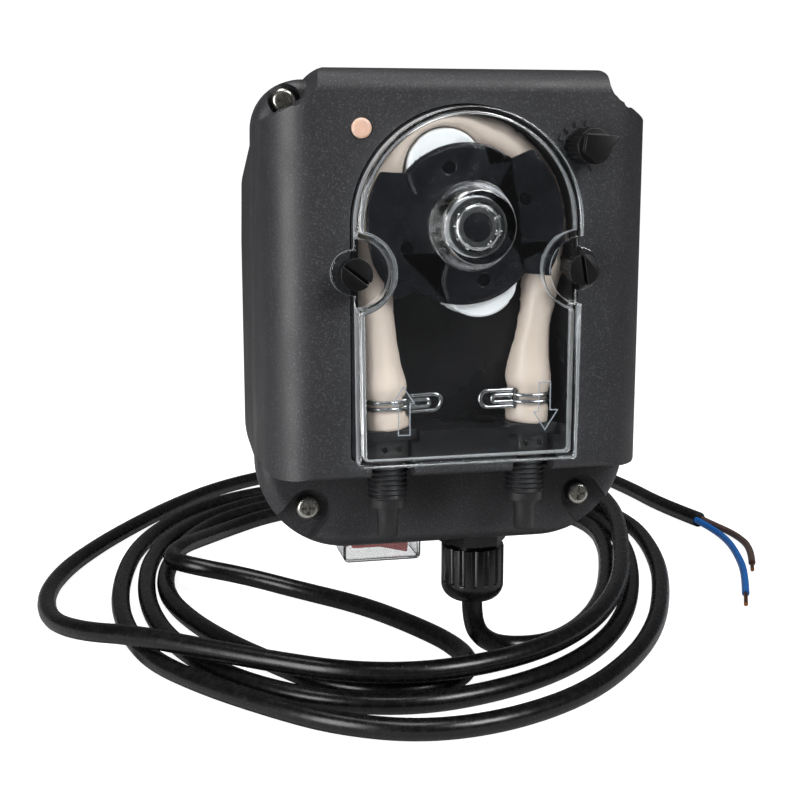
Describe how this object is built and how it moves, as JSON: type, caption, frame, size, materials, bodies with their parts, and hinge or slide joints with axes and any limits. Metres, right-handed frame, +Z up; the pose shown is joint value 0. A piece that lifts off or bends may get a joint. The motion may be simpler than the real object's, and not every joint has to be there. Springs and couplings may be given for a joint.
{
  "type": "peristaltic dosing pump",
  "caption": "Wall-mounted peristaltic dosing pump: black case, clear-covered roller pump head with beige tube, speed knob, power switch and a loose mains cord",
  "frame": {"origin": "middle of the two wall screws, on the wall bracket's back face", "axes": "+Z up, +Y from the front panel back to the wall, +X to the right seen from the front"},
  "size_m": [0.2635, 0.3137, 0.1695],
  "materials": {
    "case_black": "fine spark-eroded texture",
    "seal_grey": "soft moulded rubber",
    "plated_steel": "zinc or nickel plated",
    "head_black": "satin moulded",
    "rotor_black": "smooth moulded",
    "clear_cover": "clear moulded plastic",
    "roller_white": "smooth acetal",
    "gear_nylon": "natural nylon",
    "brass_pinion": "machined",
    "tube_beige": "matt extruded tube",
    "connector_black": "moulded polypropylene",
    "lamp_amber": "diffuse lens",
    "rocker_red": "translucent red",
    "board_green": "glass-fibre board",
    "cord_black": "extruded PVC sheath",
    "core_brown": "PVC insulation",
    "core_blue": "PVC insulation",
    "copper_bare": "tinned copper strands"
  },
  "bodies": {
    "housing": {"front_shell": "case_black", "rear_case": "case_black", "case_gasket": "seal_grey", "casing_screws": "plated_steel", "wall_bracket": "case_black", "pump_head_cup": "head_black", "head_cover": "clear_cover", "bearing_outer_race": "plated_steel", "idler_pin": "plated_steel", "gearbox_front": "plated_steel", "gearbox_case": "plated_steel", "motor_can": "plated_steel", "pump_tube": "tube_beige", "tube_clip_left": "plated_steel", "tube_clip_right": "plated_steel", "inlet_connector": "connector_black", "outlet_connector": "connector_black", "potentiometer": "head_black", "signal_lamp": "lamp_amber", "switch_frame": "head_black", "switch_pin": "plated_steel", "switch_cap": "clear_cover", "gland_body": "head_black", "gland_locknut": "head_black", "gland_nut": "head_black", "gland_seal": "seal_grey", "circuit_board": "board_green", "mains_cord": "cord_black", "cord_core_brown": "core_brown", "cord_core_blue": "core_blue", "cord_copper_ends": "copper_bare"},
    "rotor": {"rotor_carrier": "rotor_black", "rotor_back_plate": "rotor_black", "roller_axles": "plated_steel", "guide_pins": "plated_steel", "drive_shaft": "plated_steel", "bearing_inner_race": "plated_steel", "output_gear": "gear_nylon"},
    "upper_roller": {"roller_upper": "roller_white"},
    "lower_roller": {"roller_lower": "roller_white"},
    "ball_cage": {"bearing_balls": "plated_steel"},
    "idler": {"idler_gear": "gear_nylon"},
    "motor_rotor": {"motor_armature": "plated_steel", "motor_pinion": "brass_pinion"},
    "knob": {"speed_knob": "head_black", "knob_spindle": "plated_steel"},
    "left_thumb_screw": {"thumb_screw_left": "head_black"},
    "right_thumb_screw": {"thumb_screw_right": "head_black"},
    "rocker": {"switch_rocker": "rocker_red"}
  },
  "joints": [
    {"name": "rotor_spin", "type": "hinge", "parent": "housing", "child": "rotor", "pos_m": [0, -0.083, 0.024], "axis": [0, 1, 0], "continuous": true, "deforming": ["pump_tube"]},
    {"name": "upper_roller_spin", "type": "hinge", "parent": "rotor", "child": "upper_roller", "pos_m": [-0.00448, -0.078, 0.03779], "axis": [0, 1, 0], "continuous": true, "deforming": ["pump_tube"]},
    {"name": "lower_roller_spin", "type": "hinge", "parent": "rotor", "child": "lower_roller", "pos_m": [0.00448, -0.078, 0.01021], "axis": [0, 1, 0], "continuous": true},
    {"name": "ball_cage_spin", "type": "hinge", "parent": "housing", "child": "ball_cage", "pos_m": [0, -0.0901, 0.024], "axis": [0, 1, 0], "continuous": true},
    {"name": "idler_spin", "type": "hinge", "parent": "housing", "child": "idler", "pos_m": [0, -0.055, 0.003], "axis": [0, 1, 0], "continuous": true},
    {"name": "motor_spin", "type": "hinge", "parent": "housing", "child": "motor_rotor", "pos_m": [-0.01819, -0.04, 0.0135], "axis": [0, 1, 0], "continuous": true},
    {"name": "knob_turn", "type": "hinge", "parent": "housing", "child": "knob", "pos_m": [0.0293, -0.083, 0.0429], "axis": [0, -1, 0], "range_deg": [-78, 214]},
    {"name": "left_screw_turn", "type": "hinge", "parent": "housing", "child": "left_thumb_screw", "pos_m": [-0.0285, -0.083, 0.0128], "axis": [0, -1, 0], "range_deg": [0, 360]},
    {"name": "right_screw_turn", "type": "hinge", "parent": "housing", "child": "right_thumb_screw", "pos_m": [0.0285, -0.083, 0.0128], "axis": [0, -1, 0], "range_deg": [0, 360]},
    {"name": "rocker_tip", "type": "hinge", "parent": "housing", "child": "rocker", "pos_m": [-0.014, -0.041, -0.0625], "axis": [0, -1, 0], "range_deg": [0, 14]}
  ],
  "couplings": [
    {"joint": "upper_roller_spin", "follows": "rotor_spin", "ratio": -2.5263},
    {"joint": "lower_roller_spin", "follows": "rotor_spin", "ratio": -2.5263},
    {"joint": "ball_cage_spin", "follows": "rotor_spin", "ratio": 0.4048},
    {"joint": "idler_spin", "follows": "rotor_spin", "ratio": -4},
    {"joint": "motor_spin", "follows": "rotor_spin", "ratio": 16}
  ]
}
